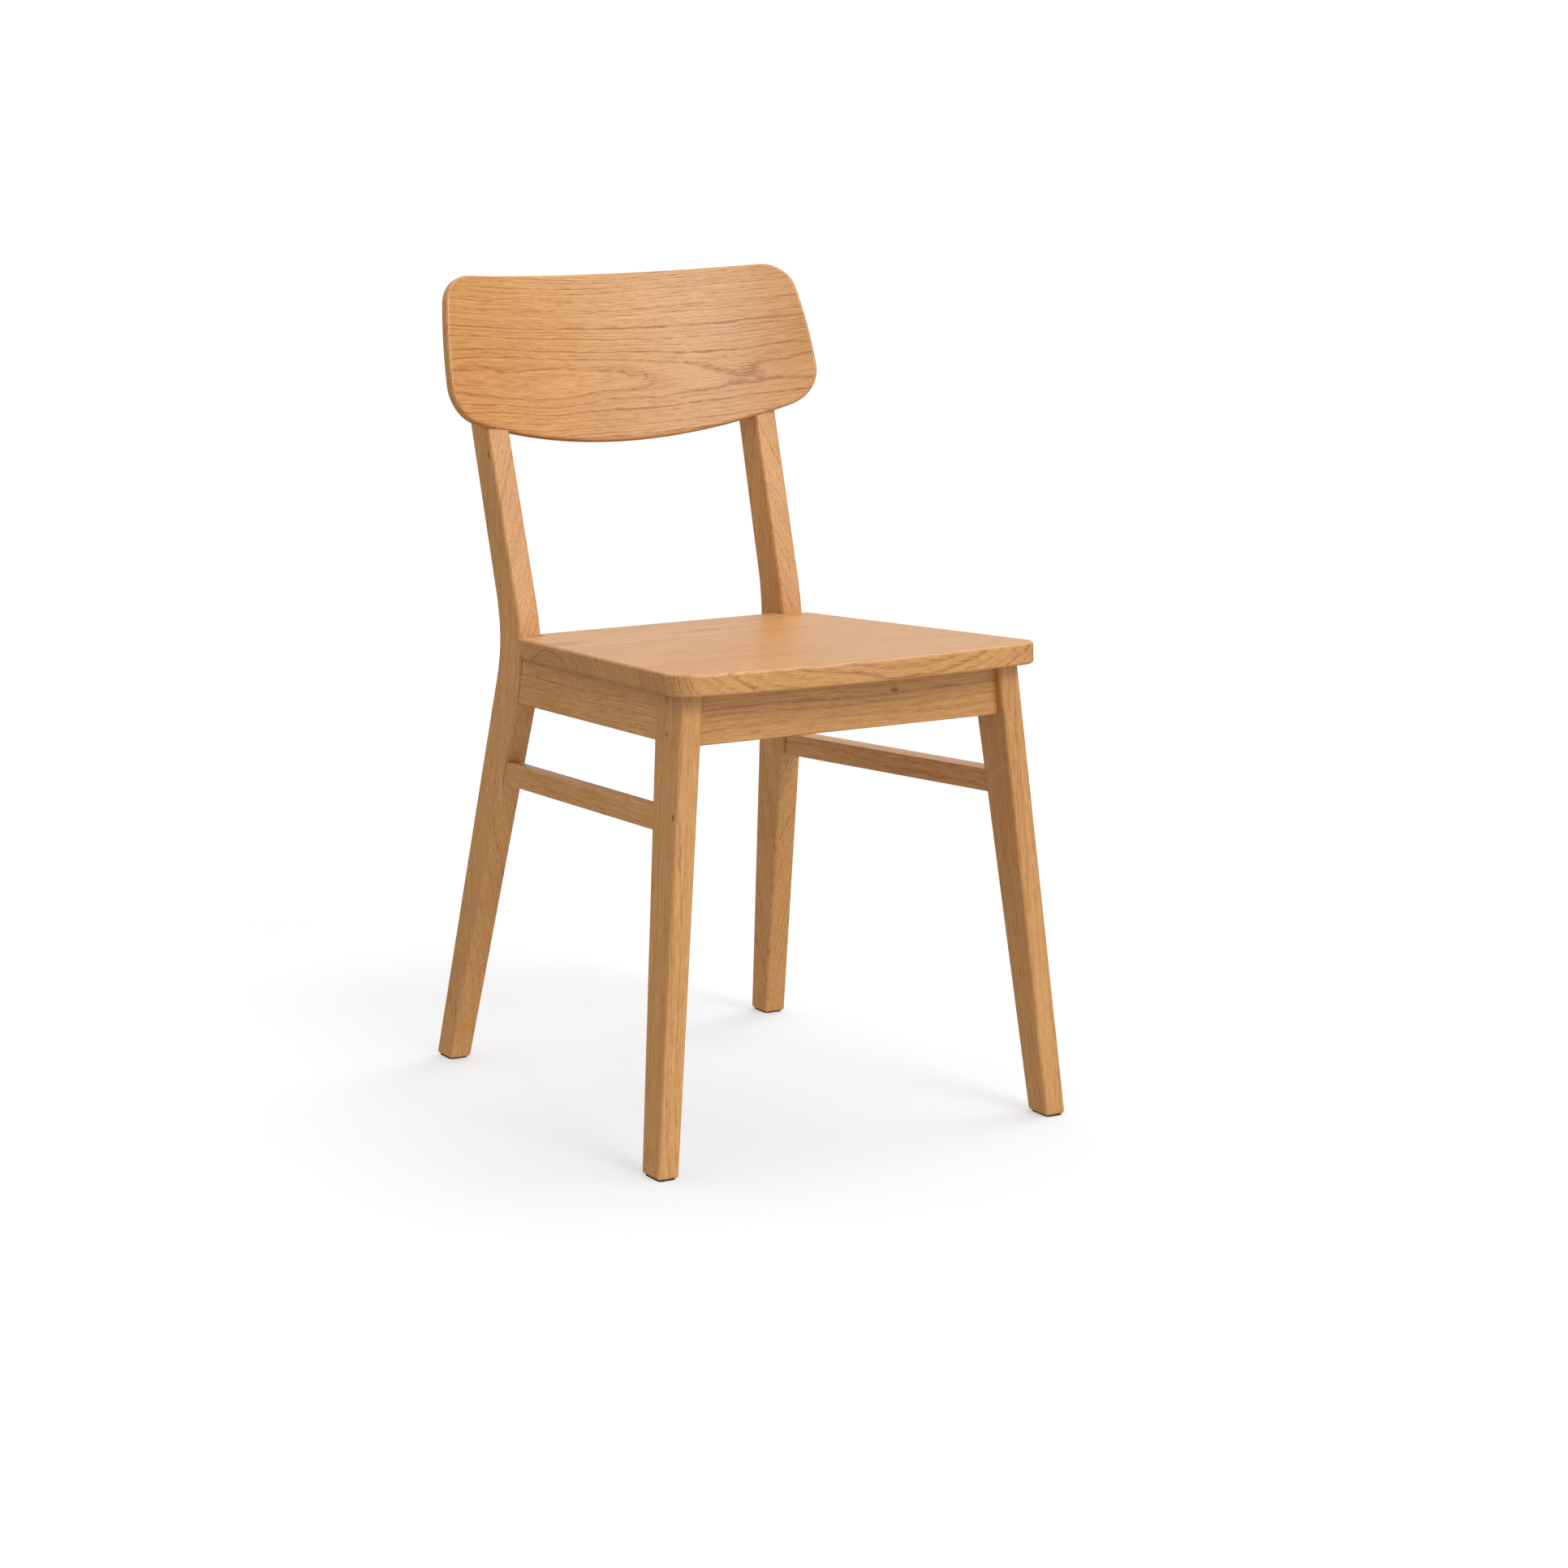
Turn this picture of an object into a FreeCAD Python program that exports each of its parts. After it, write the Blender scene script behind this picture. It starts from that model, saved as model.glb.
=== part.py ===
import FreeCAD, Part
import os
import re
import Sketcher

# Dining chair in solid oak.  Millimetres, +Z up.  The front of the chair faces -Y and the
# sitter's left is +X.  The origin lies on the floor under the middle of the whole chair.
# Angles are in degrees.

SIZES = {
    # seat board
    "seat_height": 470.0,              # top of the seat at the middle of its front edge
    "seat_front": -268.4,              # Y of the same point
    "seat_slope": 2.9,                 # the whole seat and its rails fall towards the back
    "seat_thickness": 21.0,
    "seat_depth": 420.5,
    "seat_front_width": 398.0,         # across the front corners before they are rounded
    "seat_front_corner": 20.5,         # how far those corners lie behind the front edge
    "seat_rear_width": 334.0,          # across the side edges where the notches begin
    "seat_bow_radius": 970.0,          # the front edge is a shallow arc in plan
    "seat_notch_depth": 17.0,
    "seat_tongue_width": 276.0,        # of the part that reaches back between the posts
    "seat_corner_radius": 25.0,
    "seat_ear_radius": 6.0,
    "seat_easing": 3.0,
    # front legs, tapered in side view and splayed in front view
    "front_leg_thickness": 22.0,
    "front_foot_outer": 226.6,
    "front_foot_front": -257.4,
    "front_foot_depth": 33.0,
    "front_leg_splay": 5.57,
    "front_leg_face_lean": 3.41,       # of the front face, top towards the back
    "front_leg_back_lean": 5.73,       # of the back face
    # rear legs: lower leg and back post in one, bent at the height of the seat
    "rear_leg_thickness": 24.0,
    "rear_foot_outer": 199.6,
    "rear_foot_front": 236.3,
    "rear_foot_depth": 30.5,
    "rear_leg_splay": 4.85,
    "post_flare": 0.8,                 # of the post, top outwards
    "side_bend_height": 437.0,
    "side_bend_run": 30.0,             # how far above and below that height the bend reaches
    "front_bend_height": 428.4,
    "front_bend_radius": 200.0,
    "back_bend_height": 446.0,
    "back_bend_radius": 190.0,
    "leg_face_rake": 14.27,            # lower leg, front face
    "leg_back_rake": 11.46,            # lower leg, back face
    "post_face_rake": 17.15,           # post, front face
    "post_back_rake": 15.79,           # post, back face
    "post_top": 765.0,
    "leg_easing": 3.0,
    # seat frame
    "rail_thickness": 18.0,
    "front_rail_height": 50.0,
    "side_rail_height": 47.5,
    "rear_rail_height": 45.0,
    "rail_easing": 1.5,
    "rail_flush": 1.0,                 # planed off the top of a rail where it meets the seat
    "rail_reach": 8.0,                 # how far a rail blank runs into a leg before it is trimmed
    "front_rail_setback": 9.3,
    "side_setback": 2.0,               # of side rails and stretchers behind the leg's outer face
    "rear_rail_y": 154.6,
    "shoulder_gap": 1.2,               # shadow gap where a side rail meets the rear leg
    "stretcher_height": 22.5,
    "stretcher_thickness": 17.0,
    "stretcher_level": 327.0,          # centre of the stretcher at the front leg
    "brace_thickness": 16.0,
    "brace_height": 35.0,
    "brace_setback": 22.0,             # from the leg's inner arris to the middle of the brace
    "brace_reach": 11.5,
    # backrest: a board of even thickness bent round an arc and leaning back with the posts
    "back_thickness": 12.0,
    "back_bend": 510.0,                # radius of the hollow front face
    "back_rake": 16.0,
    "back_base_height": 629.3,         # lowest point of the front face, in the middle
    "back_base_y": 211.1,
    "back_height": 172.0,
    "back_lower_width": 419.0,
    "back_lower_rise": 29.0,           # from the middle of the bottom edge to its corners
    "back_upper_width": 389.0,
    "back_upper_drop": 2.7,            # from the middle of the top edge to its corners
    "back_bottom_radius": 776.0,
    "back_top_radius": 7000.0,
    "back_side_radius": 550.0,
    "back_lower_corner": 38.0,
    "back_upper_corner": 35.0,
    "back_easing": 2.5,
    "housing_gap": 0.15,
    # hardware
    "glide_height": 1.4,
    "glide_inset": 2.0,                # from the outline of the foot
    "glide_corner": 4.0,
    "nail_radius": 1.1,
    "nail_length": 14.0,
    "nail_cover": 0.6,
    "dowel_radius": 4.0,
    "dowel_length": 32.0,
    "dowel_offset": 11.0,              # above and below the middle of a rail
    "dowel_shallow": 12.0,             # depth in the rear leg, where two joints meet
    "bolt_radius": 3.0,
    "bolt_depth": 18.0,                # in the leg
    "bolt_drop": 7.0,                  # below the middle of the brace, between the dowels
    "bolt_proud": 8.0,                 # past the brace, where the nut sits
    "nut_radius": 6.5,
    "nut_height": 5.0,
    "seat_screw_radius": 2.2,
    "seat_screw_length": 46.0,
    "seat_screw_offset": 20.0,
    "back_screw_radius": 2.0,
    "back_screw_bite": 6.5,            # into the backrest
    "back_screw_low": 682.0,           # heights of the two screws in each post
    "back_screw_high": 735.0,
    "screw_head_radius": 4.4,
    "screw_head_height": 3.0,
    "plug_radius": 5.0,
    "plug_height": 6.0,
    "bore_clearance": 0.15,
}

doc = FreeCAD.newDocument("dining_chair")
sheet = doc.addObject("Spreadsheet::Sheet", "Sizes")
for row, (alias, number) in enumerate(SIZES.items(), start=1):
    sheet.set(f"A{row}", alias)
    sheet.set(f"B{row}", str(number))
    sheet.setAlias(f"B{row}", alias)
doc.recompute()

SIDES = {"left": 1, "right": -1}
X, Y, Z = FreeCAD.Vector(1, 0, 0), FreeCAD.Vector(0, 1, 0), FreeCAD.Vector(0, 0, 1)
FRONT_VIEW = FreeCAD.Rotation(X, 90)                          # sketch axes along X and Z
SIDE_VIEW = FreeCAD.Rotation(FreeCAD.Vector(1, 1, 1), 120)    # sketch axes along Y and Z
nodes = []
bores = []


# ---- helpers ---------------------------------------------------------------------------

def value(expression):
    """Number that an expression of the sheet's cells gives."""
    return float(sheet.evalExpression(str(expression)))


def bound(expression):
    """The same expression, as an object outside the sheet has to write it."""
    return re.sub("[a-z_]+", lambda word: f"Sizes.{word[0]}" if word[0] in SIZES else word[0],
                  str(expression))


def make(kind, name, sizes=None, **settings):
    """Document object whose sizes are bound to the sheet."""
    thing = doc.addObject(kind, name)
    for key, setting in settings.items():
        setattr(thing, key, setting)
    for key, expression in (sizes or {}).items():
        thing.setExpression(key, bound(expression))
    return thing


def node(thing, name):
    """Marks an object as one finished piece of the chair."""
    thing.Label = name
    nodes.append(thing)
    return thing


def draw(sketch, corners):
    """Closed anticlockwise outline.  A corner is (x, y), or (x, y, radius) where the edge
    that leaves it is an arc bulging outwards, or (x, y, radius, "hollow") where the arc
    bulges inwards."""
    places = [FreeCAD.Vector(value(corner[0]), value(corner[1]), 0) for corner in corners]
    for i, corner in enumerate(corners):
        here, there = places[i], places[(i + 1) % len(corners)]
        if "hollow" in corner:
            here, there = there, here
        edge = Part.LineSegment(here, there)
        if len(corner) > 2:
            half = (there - here) / 2
            radius = value(corner[2])
            inward = FreeCAD.Vector(-half.y, half.x, 0).normalize()
            centre = here + half + inward * (radius ** 2 - half.Length ** 2) ** 0.5
            circle = Part.Circle(centre, Z, radius)
            edge = Part.ArcOfCircle(circle, circle.parameter(here), circle.parameter(there))
        sketch.addGeometry(edge)
    for i, corner in enumerate(corners):
        before = (i - 1) % len(corners)
        end_before = 1 if "hollow" in corners[before] else 2
        start = 2 if "hollow" in corner else 1
        join = Sketcher.Constraint("Coincident", before, end_before, i, start)
        sketch.addConstraint(join)
        for kind, expression in (("DistanceX", corner[0]), ("DistanceY", corner[1])):
            place = Sketcher.Constraint(kind, -1, 1, i, start, value(expression))
            index = sketch.addConstraint(place)
            sketch.setExpression(f"Constraints[{index}]", bound(expression))
        if len(corner) > 2:
            index = sketch.addConstraint(Sketcher.Constraint("Radius", i, value(corner[2])))
            sketch.setExpression(f"Constraints[{index}]", bound(corner[2]))


def outline(name, rotation, corners):
    """Outline drawn in the front view or the side view."""
    sketch = doc.addObject("Sketcher::SketchObject", name)
    sketch.Placement = FreeCAD.Placement(FreeCAD.Vector(), rotation)
    draw(sketch, corners)
    return sketch


def slab(name, sketch, length):
    """Outline carried both ways from its plane, to the given full length."""
    return make("Part::Extrusion", name, {"LengthFwd": length}, Base=sketch,
                DirMode="Normal", Solid=True, Symmetric=True)


def ease(name, base, radius, chosen):
    """Rounds the edges that the test picks."""
    doc.recompute()
    edges = [i for i, edge in enumerate(base.Shape.Edges, start=1) if chosen(edge)]
    return make("Part::Fillet", name, Base=base,
                Edges=[(i, value(radius), value(radius)) for i in edges])


def lies_along(direction):
    """Test for straight edges that run along a direction."""
    def test(edge):
        start, end = edge.Vertexes[0].Point, edge.Vertexes[-1].Point
        run = end - start
        return run.Length > 0.1 and run.cross(direction).Length < 1e-3 * run.Length
    return test


def frame_at(origin, along, up):
    """Placement whose X runs along a direction and whose Z is as near to up as it can be."""
    rotation = FreeCAD.Rotation(along, FreeCAD.Vector(), up, "XZY")
    return FreeCAD.Placement(origin, rotation)


def bar(name, start, end, up, thickness, height, reach):
    """Rail blank: an eased board between two points, running past both by its reach."""
    along = (end - start).normalize()
    length = f"{(end - start).Length} + 2 * ({reach})"
    board = make("Part::Box", f"{name}_board",
                 {"Length": length, "Width": thickness, "Height": height})
    corner = FreeCAD.Vector(-value(reach), -value(thickness) / 2, -value(height) / 2)
    board.Placement = frame_at(start, along, up) * FreeCAD.Placement(corner, FreeCAD.Rotation())
    return ease(f"{name}_blank", board, "rail_easing", lies_along(along))


def rod(name, start, direction, radius, length):
    """Cylinder from a point along a direction."""
    thing = make("Part::Cylinder", name, {"Radius": radius, "Height": length})
    thing.Placement = FreeCAD.Placement(start, FreeCAD.Rotation(Z, direction))
    return thing


def fitted_rod(name, start, direction, radius, length):
    """Rod, and the slightly wider and longer hole that takes it."""
    direction = FreeCAD.Vector(direction).normalize()
    hole = rod(f"{name}_bore", start - direction * value("bore_clearance"), direction,
               f"{radius} + bore_clearance", f"{length} + 2 * bore_clearance")
    bores.append(hole)
    return rod(name, start, direction, radius, length)


def group(name, things):
    """Identical pieces that share one node."""
    return node(make("Part::Compound", f"{name}_group", Links=things), name)


def trimmed(name, base, *tools):
    """Piece with other pieces cut out of it."""
    tool = tools[0]
    if len(tools) > 1:
        tool = make("Part::MultiFuse", f"{name}_trim", Shapes=list(tools))
    return make("Part::Cut", name, Base=base, Tool=tool)


# ---- lines that several pieces share ---------------------------------------------------

def underside(y):
    """Height of the seat board's underside at a given Y."""
    return (f"(seat_height - seat_thickness / cos(seat_slope)"
            f" - tan(seat_slope) * (({y}) - seat_front))")


def front_leg_outer(z):
    return f"(front_foot_outer - tan(front_leg_splay) * ({z}))"


def front_leg_face(z):
    return f"(front_foot_front + tan(front_leg_face_lean) * ({z}))"


def front_leg_back(z):
    return f"(front_foot_front + front_foot_depth + tan(front_leg_back_lean) * ({z}))"


def rear_leg_outer(z):
    return f"(rear_foot_outer - tan(rear_leg_splay) * ({z}))"


def rear_leg_face(z):
    return f"(rear_foot_front - tan(leg_face_rake) * ({z}))"


def rear_leg_back(z):
    return f"(rear_foot_front + rear_foot_depth - tan(leg_back_rake) * ({z}))"


def post_outer(z):
    return f"({rear_leg_outer('side_bend_height')} + tan(post_flare) * (({z}) - side_bend_height))"


def post_face(z):
    return (f"({rear_leg_face('front_bend_height')}"
            f" + tan(post_face_rake) * (({z}) - front_bend_height))")


def post_back(z):
    return (f"({rear_leg_back('back_bend_height')}"
            f" + tan(post_back_rake) * (({z}) - back_bend_height))")


seat_tilt = FreeCAD.Rotation(X, -value("seat_slope"))
seat_normal = seat_tilt.multVec(Z)


# ---- front legs ------------------------------------------------------------------------

def long_or_at_ends(edge):
    """Arrises of a leg, but not the seams where its faces run into their bends."""
    box = edge.BoundBox
    return box.ZLength > 1 or box.ZMax < value("glide_height") + 0.1


def front_leg(side, sign):
    foot, top = "glide_height", "seat_height"
    across = [(f"{sign} * {front_leg_outer(foot)}", foot),
              (f"{sign} * {front_leg_outer(top)}", top),
              (f"{sign} * ({front_leg_outer(top)} - front_leg_thickness)", top),
              (f"{sign} * ({front_leg_outer(foot)} - front_leg_thickness)", foot)]
    front = outline(f"front_leg_{side}_across", FRONT_VIEW, across[::sign])
    board = "seat_height - seat_thickness"
    depth = outline(f"front_leg_{side}_depth", SIDE_VIEW, [
        (front_leg_face(foot), foot),
        (front_leg_back(foot), foot),
        (front_leg_back(board), underside(front_leg_back(board))),
        (front_leg_face(board), underside(front_leg_face(board)))])
    blank = make("Part::Common", f"front_leg_{side}_blank",
                 Base=slab(f"front_leg_{side}_front_slab", front, 700),
                 Tool=slab(f"front_leg_{side}_side_slab", depth, 600))
    return ease(f"front_leg_{side}_eased", blank, "leg_easing", long_or_at_ends)


# ---- rear legs -------------------------------------------------------------------------

def at_height(height):
    """Test for level edges at a height: where two faces of a blank meet at a bend."""
    def test(edge):
        box = edge.BoundBox
        return box.ZLength < 0.1 and abs(box.ZMin - value(height)) < 0.1
    return test


def rear_leg_depth(name, forward):
    """Rear leg in side view, bends and all, moved forward by a distance."""
    foot, top = "glide_height", "post_top"
    corners = outline(f"{name}_depth", SIDE_VIEW, [
        (f"{rear_leg_face(foot)} - {forward}", foot),
        (f"{rear_leg_back(foot)} - {forward}", foot),
        (f"{rear_leg_back('back_bend_height')} - {forward}", "back_bend_height"),
        (f"{post_back(top)} - {forward}", top),
        (f"{post_face(top)} - {forward}", top),
        (f"{rear_leg_face('front_bend_height')} - {forward}", "front_bend_height")])
    square = slab(f"{name}_side_slab", corners, 600)
    front = ease(f"{name}_front_bend", square, "front_bend_radius", at_height("front_bend_height"))
    return ease(f"{name}_back_bend", front, "back_bend_radius", at_height("back_bend_height"))


def rear_leg(side, sign):
    name = f"rear_leg_{side}"
    foot, top = "glide_height", "post_top"
    low, high = "side_bend_height - side_bend_run", "side_bend_height + side_bend_run"
    radius = "side_bend_run / tan((rear_leg_splay + post_flare) / 2)"
    outer = [(rear_leg_outer(foot), foot), (rear_leg_outer(low), low),
             (post_outer(high), high), (post_outer(top), top)]
    inner = [(f"{x} - rear_leg_thickness", z) for x, z in reversed(outer)]
    across = [(f"{sign} * ({x})", z) for x, z in outer + inner][::sign]
    hollow, round_ = (1, 5) if sign > 0 else (5, 1)
    across[hollow] += (radius, "hollow")
    across[round_] += (radius,)
    front = slab(f"{name}_front_slab", outline(f"{name}_across", FRONT_VIEW, across), 700)
    blank = make("Part::Common", f"{name}_blank", Base=front,
                 Tool=rear_leg_depth(name, 0))

    def arris(edge):
        box = edge.BoundBox
        return long_or_at_ends(edge) or box.ZMin > value(top) - 0.1
    return ease(f"{name}_eased", blank, "leg_easing", arris)


# ---- backrest --------------------------------------------------------------------------

def bent_board(name, hollow_radius, round_radius):
    """Backrest blank in its own frame: the outline cut from a ring of two radii."""
    sketch = outline(f"{name}_outline", FRONT_VIEW, [
        ("-back_lower_width / 2", "back_lower_rise", "back_bottom_radius"),
        ("back_lower_width / 2", "back_lower_rise", "back_side_radius"),
        ("back_upper_width / 2", "back_height - back_upper_drop", "back_top_radius"),
        ("-back_upper_width / 2", "back_height - back_upper_drop", "back_side_radius")])
    square = slab(f"{name}_slab", sketch, 150)
    lower = ease(f"{name}_lower", square, "back_lower_corner", corner_edge(0, 100))
    shape = ease(f"{name}_upper", lower, "back_upper_corner", corner_edge(150, 200))
    cylinders = []
    for face, radius in (("round", round_radius), ("hollow", hollow_radius)):
        cylinder = make("Part::Cylinder", f"{name}_{face}", {"Radius": radius}, Height=400)
        cylinder.Placement.Base = FreeCAD.Vector(0, -value("back_bend"), -100)
        cylinders.append(cylinder)
    ring = trimmed(f"{name}_ring", *cylinders)
    return make("Part::Common", f"{name}_blank", Base=ring, Tool=shape)


def corner_edge(lowest, highest):
    """Test for the edges through the board, between two heights."""
    def test(edge):
        box = edge.BoundBox
        return box.YLength > 100 and box.XLength < 1 and lowest < box.ZMin < highest
    return test


def on_faces(edge):
    """Test for edges that outline the front or back face, not those through the board."""
    start, end = edge.Vertexes[0].Point, edge.Vertexes[-1].Point
    return (end - start).Length > value("2 * back_thickness")


back_place = FreeCAD.Placement(FreeCAD.Vector(0, value("back_base_y"), value("back_base_height")),
                               FreeCAD.Rotation(X, -value("back_rake")))


# ---- seat board ------------------------------------------------------------------------

def plane_of(body, role):
    return next(part for part in body.Origin.OriginFeatures if part.Role == role)


def rounded(body, name, base, radius, chosen):
    """Fillet in a body, on the edges that the test picks."""
    doc.recompute()
    names = [f"Edge{i}" for i, edge in enumerate(base.Shape.Edges, start=1) if chosen(edge)]
    fillet = body.newObject("PartDesign::Fillet", name)
    fillet.Base = (base, names)
    fillet.setExpression("Radius", bound(radius))
    return fillet


def seat_board():
    """Seat in its own plane: the top is at Z 0 and its front edge at Y 0."""
    body = doc.addObject("PartDesign::Body", "seat_board")
    sketch = body.newObject("Sketcher::SketchObject", "seat_outline")
    sketch.AttachmentSupport = (plane_of(body, "XY_Plane"), "")
    sketch.MapMode = "FlatFace"
    notch = "seat_depth - seat_notch_depth"
    draw(sketch, [
        ("-seat_front_width / 2", "seat_front_corner", "seat_bow_radius"),
        ("seat_front_width / 2", "seat_front_corner"),
        ("seat_rear_width / 2", notch),
        ("seat_tongue_width / 2", notch),
        ("seat_tongue_width / 2", "seat_depth"),
        ("-seat_tongue_width / 2", "seat_depth"),
        ("-seat_tongue_width / 2", notch),
        ("-seat_rear_width / 2", notch)])
    pad = body.newObject("PartDesign::Pad", "seat_pad")
    pad.Profile = sketch
    pad.Reversed = True
    pad.setExpression("Length", bound("seat_thickness"))
    notch_y = value(notch)
    middle = value("seat_tongue_width") / 2 + 1

    def upright(lowest, highest):
        def test(edge):
            box = edge.BoundBox
            beside = min(abs(box.XMin), abs(box.XMax)) > middle
            return box.ZLength > 1 and beside and lowest < box.YMin < highest
        return test

    front = rounded(body, "seat_front_corners", pad, "seat_corner_radius", upright(0, 100))
    ears = rounded(body, "seat_ears", front, "seat_ear_radius", upright(notch_y - 1, notch_y + 1))

    def exposed(edge):
        box = edge.BoundBox
        in_notch = box.YMin > notch_y - 0.1 and box.YLength > 0.1
        return box.ZLength < 0.1 and not in_notch
    rounded(body, "seat_eased", ears, "seat_easing", exposed)
    place = FreeCAD.Vector(0, value("seat_front"), value("seat_height"))
    body.Placement = FreeCAD.Placement(place, seat_tilt)
    return body


# ---- rails, stretchers and braces ------------------------------------------------------

def side_line(sign, level, thickness):
    """Middle line of a side rail or stretcher, from leg to leg, falling with the seat."""
    high = value(level)
    near, far = value(front_leg_back(high)), value(rear_leg_face(high))
    low = high - (far - near) * value("tan(seat_slope)")
    inset = value(f"side_setback + {thickness} / 2")
    start = FreeCAD.Vector(sign * (value(front_leg_outer(high)) - inset), near, high)
    end = FreeCAD.Vector(sign * (value(rear_leg_outer(low)) - inset),
                         value(rear_leg_face(low)), low)
    return start, end


def cross_line(inner_face, y, half_height, thickness):
    """Middle line of a front or rear rail, from leg to leg."""
    z = value(f"{underside(y)} + rail_flush - {half_height}")
    x = value(inner_face(z))
    return FreeCAD.Vector(-x, value(y), z), FreeCAD.Vector(x, value(y), z)


def front_leg_inner(z):
    return f"({front_leg_outer(z)} - front_leg_thickness)"


def rear_leg_inner(z):
    return f"({rear_leg_outer(z)} - rear_leg_thickness)"


def crossing(start, run, place, along):
    """Where two lines cross in plan, at the height of a brace's middle under the seat."""
    step = (place - start).cross(along).z / run.cross(along).z
    y = start.y + run.y * step
    level = value(f"{underside(y)} - brace_height / 2 / cos(seat_slope)")
    return FreeCAD.Vector(start.x + run.x * step, y, level)


# ---- the chair -------------------------------------------------------------------------

pieces = {}                  # finished pieces, but for the holes that their hardware needs
seat = pieces["seat_panel"] = seat_board()
panel = ease("backrest_eased", bent_board("backrest", "back_bend", "back_bend + back_thickness"),
             "back_easing", on_faces)
panel.Placement = back_place
pieces["backrest_panel"] = panel
housing = bent_board("housing", "back_bend - back_thickness",
                     "back_bend + back_thickness + housing_gap")
housing.Placement = back_place


def rail_dowel(name, place, direction, into_leg):
    """One dowel across a joint: the place is on the leg's face, the direction into the leg."""
    start = place - direction * (value("dowel_length") - value(into_leg))
    return fitted_rod(name, start, direction, "dowel_radius", "dowel_length")


rail_dowels, stretcher_dowels, leg_bolts, nuts, seat_screws = [], [], [], [], []
back_screws, plugs, nails = [], [], []
half_dowel = "dowel_length / 2"

front_start, front_end = cross_line(
    front_leg_inner, f"{front_leg_face('seat_height - 50')} + front_rail_setback"
    " + rail_thickness / 2", "front_rail_height / 2", "rail_thickness")
rear_start, rear_end = cross_line(rear_leg_inner, "rear_rail_y", "rear_rail_height / 2",
                                  "rail_thickness")
cross_rails = {
    "front_rail": (front_start, front_end, "front_rail_height"),
    "rear_rail": (rear_start, rear_end, "rear_rail_height"),
}
legs = {}
for side, sign in SIDES.items():
    legs[f"front_{side}"] = pieces[f"front_leg_{side}"] = front_leg(side, sign)
    housed = trimmed(f"rear_leg_{side}_housed", rear_leg(side, sign), housing)
    legs[f"rear_{side}"] = pieces[f"rear_leg_{side}"] = housed

for name, (start, end, height) in cross_rails.items():
    which = name.split("_")[0]
    blank = bar(name, start, end, Z, "rail_thickness", height, "rail_reach")
    pieces[name] = trimmed(f"{name}_fitted", blank, legs[f"{which}_left"],
                           legs[f"{which}_right"], seat)
    for end_name, place, direction in (("right", start, -X), ("left", end, X)):
        for level in (-1, 1):
            centre = place + Z * level * value("dowel_offset")
            rail_dowels.append(rail_dowel(f"{name}_{end_name}_dowel", centre, direction,
                                          half_dowel))

clear = rear_leg_depth("shoulder_clearance", "shoulder_gap")
for side, sign in SIDES.items():
    lean = FreeCAD.Vector(-sign * value("tan(front_leg_splay)"), 0, 1)
    rail_level = "seat_height - seat_thickness - side_rail_height / 2"
    rail_level = (f"{underside(front_leg_back(rail_level))}"
                  " + rail_flush - side_rail_height / 2 / cos(seat_slope)")
    for name, level, thickness, height, offsets, dowels in (
            ("side_rail", rail_level, "rail_thickness", "side_rail_height",
             (-1, 1), rail_dowels),
            ("side_stretcher", "stretcher_level", "stretcher_thickness", "stretcher_height",
             (0,), stretcher_dowels)):
        label = f"{name}_{side}"
        start, end = side_line(sign, level, thickness)
        blank = bar(label, start, end, lean, thickness, height, "rail_reach")
        pieces[label] = trimmed(f"{label}_fitted", blank, legs[f"front_{side}"], clear, seat)
        along = (end - start).normalize()
        for offset in offsets:
            shift = lean * offset * value("dowel_offset")
            dowels.append(rail_dowel(f"{label}_front_dowel", start + shift, -along, half_dowel))
            dowels.append(rail_dowel(f"{label}_rear_dowel", end + shift, along,
                                     "dowel_shallow"))

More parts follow.
